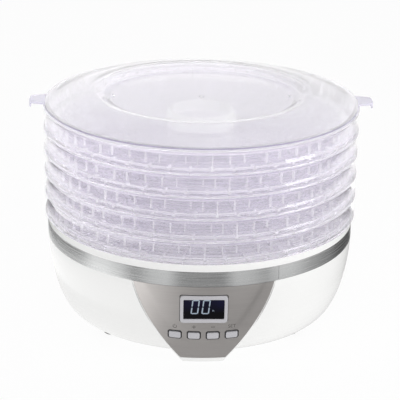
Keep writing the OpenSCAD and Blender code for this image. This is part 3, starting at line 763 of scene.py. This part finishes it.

# The floor is a sheet of rings and spokes. One sector of it is laid out, its slots are cut, it is
# copied round, and then it gets its thickness. The outer part has twice as many spokes, and its
# edge gets the ribs' whiter styrene, a painted highlight.
ring_gap = 8.0
ring_w = 2.2
ring_count = 14
floor_in = hub_r + 4.5
floor_out = ring_in + 0.3
middle_r = 84.0
highlight_r = 142.0
sectors = 24
bearings = (-1, -0.5, 0.5, 1, 7, 8, 14)
ring_radii = [hub_r + hub_w + ring_gap * k for k in range(1, ring_count + 1)]
radii = [floor_in]
for r in ring_radii:
    radii += [r - ring_w / 2, r + ring_w / 2]
radii.append(floor_out)
grid = drawn("tray_floor", bearing_line([(r, floor_top) for r in radii], bearings[0]))
for a, b in zip(bearings, bearings[1:]):
    bpy.ops.mesh.spin(steps=1, angle=-radians(b - a), center=(0, 0, 0), axis=(0, 0, 1))
bpy.ops.object.mode_set(mode="OBJECT")


def in_slot(face):
    """Whether a face of the sheet lies in a slot, on no ring and on no spoke."""
    r = hypot(face.center.x, face.center.y) / mm
    bearing = degrees(asin(face.center.x / mm / r))
    on_ring = any(abs(r - middle) < ring_w / 2 + 0.1 for middle in ring_radii)
    on_spoke = abs(bearing) < 1 if r < middle_r else abs(bearing) < 0.5 or 7 < bearing < 8
    return not on_ring and not on_spoke


pick("FACE", grid.data.polygons, in_slot)
bpy.ops.mesh.delete(type="FACE")
bpy.ops.mesh.select_all(action="SELECT")
bpy.ops.mesh.spin(steps=sectors - 1, angle=radians(360 - 360 / sectors), center=(0, 0, 0),
                  axis=(0, 0, 1), dupli=True)
bpy.ops.mesh.select_all(action="SELECT")
bpy.ops.mesh.remove_doubles(threshold=0.01 * mm)
bpy.ops.object.mode_set(mode="OBJECT")
thick = grid.modifiers.new("thickness", "SOLIDIFY")
thick.thickness = (floor_top - floor_low) * mm
thick.offset = -1 if grid.data.polygons[0].normal.z > 0 else 1
bpy.ops.object.modifier_apply(modifier=thick.name)
bpy.ops.object.mode_set(mode="EDIT")
bpy.ops.mesh.select_all(action="SELECT")
bpy.ops.mesh.normals_make_consistent(inside=False)
bpy.ops.object.mode_set(mode="OBJECT")

# Ribs hang from below the wall's rim to the floor or only part of the way, in rows of six.
rib_top = 17.6
rib_back = ring_in + 2.6
ribs_round = 6
long_ribs = [(0, 1.1, 3.4, rib_top - floor_top)]
short_ribs = [(start, 0.8 + 0.1 * (k % 3), 3.2, length) for k, (start, length) in enumerate([
    (6, 9), (11, 8), (19, 10), (24, 9), (31, 8), (37, 10), (42, 9), (51, 8), (55, 10)])]
rows = []
for start, width, depth, length in long_ribs + short_ribs:
    row = block((width, depth, length), (0, depth / 2 - rib_back, rib_top - length / 2), start)
    bpy.ops.object.mode_set(mode="EDIT")
    bpy.ops.mesh.select_all(action="SELECT")
    bpy.ops.mesh.bevel(offset=0.15 * mm, segments=1, affect="EDGES")
    bpy.ops.mesh.select_all(action="SELECT")
    bpy.ops.mesh.spin(steps=ribs_round - 1, angle=radians(360 - 360 / ribs_round),
                      center=(0, 0, 0), axis=(0, 0, 1), dupli=True)
    bpy.ops.object.mode_set(mode="OBJECT")
    rows.append(row)

for part, skins in [(wall, (styrene, highlight_styrene)), (grid, (hazy_styrene, highlight_styrene)),
                    (hub, (hub_styrene,))] + [(row, (highlight_styrene,)) for row in rows]:
    for skin in skins:
        part.data.materials.append(skin)
# The foot of the ring and the rim of the wall get the ribs' whiter styrene, painted highlight lines.
for face in wall.data.polygons:
    z = face.center.z / mm
    face.material_index = int(z < 0.4 - ring_h or z > tray_h - 0.6)
for face in grid.data.polygons:
    face.material_index = int(face.center.xy.length > highlight_r * mm)
pattern = joined("tray_pattern", [wall, hub, grid] + rows)
bpy.ops.object.shade_smooth_by_angle(angle=radians(30))
for k, turn in enumerate(tray_turns, 1):
    tray = bpy.data.objects.new(f"clear_tray_{k}", pattern.data.copy())
    bpy.context.collection.objects.link(tray)
    tray.data.transform(Matrix.Translation((0, 0, (first_z + tray_h * (k - 1)) * mm))
                        @ Matrix.Rotation(radians(turn), 4, "Z"))
    finished(tray, f"tray_{k}", None, "clear_styrene", f"tray_{k}")
    tray.visible_shadow = False
bpy.data.objects.remove(pattern)

# ---------------------------------------------------------------- lid
# One moulding of the same styrene: a domed ring with a crest round a sunken middle, a short vent
# slot at each side of that, two tabs to lift it by, and the small nub where the plastic ran in.
# It is milkier than the trays, and its thick rim shows the lilac cast of the plastic.
lid_z = first_z + len(tray_turns) * tray_h
lid_r = 156.0
crest_z = 13.0
lid_styrene = clear_styrene("milky_styrene_lid", "f9f8fb", "fdfcfe", 0.86, 0.04)
edge_styrene = clear_styrene("styrene_edge", "a59fbe", "b0aac6", 0.7, 0.08)
tab_styrene = clear_styrene("milky_styrene_tab", "e6e3f0", "eeecf5", 0.6, 0.12)


def smooth(points, spans=4):
    """More points along a smooth line through the given ones."""
    line = []
    last = len(points) - 1
    for i in range(last):
        p = [Vector(points[min(max(i + k, 0), last)]) for k in (-1, 0, 1, 2)]
        for k in range(spans):
            t = k / spans
            line.append(tuple(0.5 * (2 * p[1] + (p[2] - p[0]) * t
                                     + (2 * p[0] - 5 * p[1] + 4 * p[2] - p[3]) * t * t
                                     + (3 * p[1] - p[0] - 3 * p[2] + p[3]) * t ** 3)))
    return line + [tuple(points[-1])]


outside = smooth([
    (154.6, 3.0), (148, 4.7), (140, 6.6), (132, 8.5), (125, 10.2), (118, 11.7), (112, 12.7),
    (107, crest_z), (104, 12.4), (100, 10.5), (96, 8.3), (92, 6.6), (89, 6.0), (80, 5.85)])
inside = smooth([
    (80, 3.7), (90, 3.9), (94, 5.4), (99, 8.1), (104, 10.1), (107, 10.7), (112, 10.4), (125, 7.8),
    (140, 4.2), (ring_in, 1.0)])
rim = [(ring_out, seat), (lid_r - 0.4, seat), (lid_r, 0.4), (lid_r, 1.4), (lid_r, 2.3),
       (lid_r - 0.3, 2.75)]
nub = [(2.4, 5.6), (2.0, 6.1), (1.4, 6.3), (0, 6.3)]
cover = turned("clear_lid", rim + [(r, min(z, crest_z)) for r, z in outside] + [(40, 5.7), (8, 5.6)]
               + nub + [(0, 3.4), (40, 3.5)] + inside + nesting_ring)
for skin in (lid_styrene, edge_styrene, tab_styrene):
    cover.data.materials.append(skin)
for face in cover.data.polygons:
    face.material_index = int(face.center.xy.length > 155.6 * mm and face.center.z > 1.4 * mm)


def cut(piece, tool, operation):
    """Join tool to a piece or cut it out, and delete it."""
    change = piece.modifiers.new("change", "BOOLEAN")
    change.operation = operation
    change.solver = "EXACT"
    change.object = tool
    bpy.ops.object.select_all(**deselect)
    bpy.context.view_layer.objects.active = piece
    piece.select_set(True)
    bpy.ops.object.modifier_apply(modifier=change.name)
    bpy.data.objects.remove(tool)


# A tab narrows outwards to round corners. The lip under its tip is a copy of the tip's end, lowered
# and stretched.
tab_root = 152.0
tab_tip = 171.0
tab_w = 32.0
tab_tip_w = 20.0
tab_t = 2.2
tab_z = 1.5
tab_corner = 4.0
lip_w = 2.0
lip_drop = 2.9
lip_stretch = 1.3
for side in (0, 180):
    tab = block((tab_tip - tab_root, tab_w, tab_t), ((tab_tip + tab_root) / 2, 0, tab_z))
    for point in tab.data.vertices:
        if point.co.x > lid_r * mm:
            point.co.y *= tab_tip_w / tab_w
    pick("EDGE", tab.data.edges, lambda edge: stands(tab, edge, lid_r))
    bpy.ops.mesh.bevel(offset=tab_corner * mm, segments=5, affect="EDGES")
    bpy.ops.object.mode_set(mode="OBJECT")
    lip = bpy.data.objects.new("lip", tab.data.copy())
    bpy.context.collection.objects.link(lip)
    lip.data.transform(Matrix.Translation((0, 0, -lip_drop * mm)))
    cut(lip, block((lip_w, 30, 12), (tab_tip - lip_w / 2, 0, 0)), "INTERSECT")
    lip.data.transform(Matrix.Diagonal((1, 1, lip_stretch, 1)))
    cut(tab, lip, "UNION")
    tab.data.transform(Matrix.Rotation(radians(side), 4, "Z"))
    tab.data.materials.append(tab_styrene)
    cut(cover, tab, "UNION")

vent_w = 2.4
vent_l = 9.0
vent_r = 87.8
for side in (0, 180):
    cut(cover, block((vent_w, vent_l, 30), (vent_r, 0, 0), side), "DIFFERENCE")
cover.data.transform(Matrix.Translation((0, 0, lid_z * mm)))
bpy.ops.object.select_all(**deselect)
cover.select_set(True)
bpy.context.view_layer.objects.active = cover
bpy.ops.object.shade_smooth_by_angle(angle=radians(30))
finished(cover, "lid", None, "clear_styrene", "lid")
cover.visible_shadow = False
